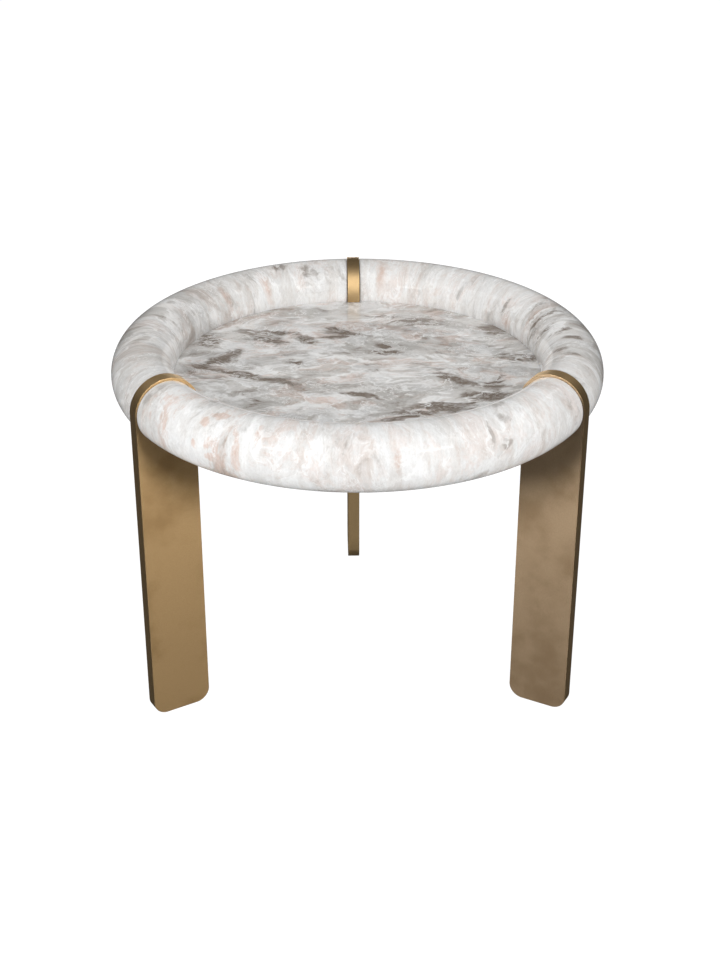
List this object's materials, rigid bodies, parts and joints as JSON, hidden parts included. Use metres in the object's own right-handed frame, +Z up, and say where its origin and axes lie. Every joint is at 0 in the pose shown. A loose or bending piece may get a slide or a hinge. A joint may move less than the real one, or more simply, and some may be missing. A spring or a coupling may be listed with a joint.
{
  "type": "coffee table",
  "caption": "Low round coffee table with a polished stone tray, thick rounded rim and upright bronze plate legs that hook over the rim.",
  "frame": {"origin": "on the ground under the middle of the tray", "axes": "+Z up, +Y towards the back leg, -Y towards the gap between the two front legs"},
  "size_m": [0.608, 0.6094, 0.46],
  "materials": {
    "stone_rim": "polished white and grey marble",
    "stone_floor": "polished grey marble with brown streaks",
    "bronze": "satin antique bronze",
    "screw_steel": "zinc plated",
    "insert_brass": "plain machined",
    "glide_nylon": "moulded"
  },
  "bodies": {
    "root": {"rim": "stone_rim", "tray_floor": "stone_floor", "leg_back": "bronze", "bracket_back": "bronze", "tray_screw_back_1": "screw_steel", "insert_back_1": "insert_brass", "leg_screw_back_1": "screw_steel", "glide_back_1": "glide_nylon", "tray_screw_back_2": "screw_steel", "insert_back_2": "insert_brass", "leg_screw_back_2": "screw_steel", "glide_back_2": "glide_nylon", "leg_left": "bronze", "bracket_left": "bronze", "tray_screw_left_1": "screw_steel", "insert_left_1": "insert_brass", "leg_screw_left_1": "screw_steel", "glide_left_1": "glide_nylon", "tray_screw_left_2": "screw_steel", "insert_left_2": "insert_brass", "leg_screw_left_2": "screw_steel", "glide_left_2": "glide_nylon", "leg_right": "bronze", "bracket_right": "bronze", "tray_screw_right_1": "screw_steel", "insert_right_1": "insert_brass", "leg_screw_right_1": "screw_steel", "glide_right_1": "glide_nylon", "tray_screw_right_2": "screw_steel", "insert_right_2": "insert_brass", "leg_screw_right_2": "screw_steel", "glide_right_2": "glide_nylon"}
  },
  "joints": []
}
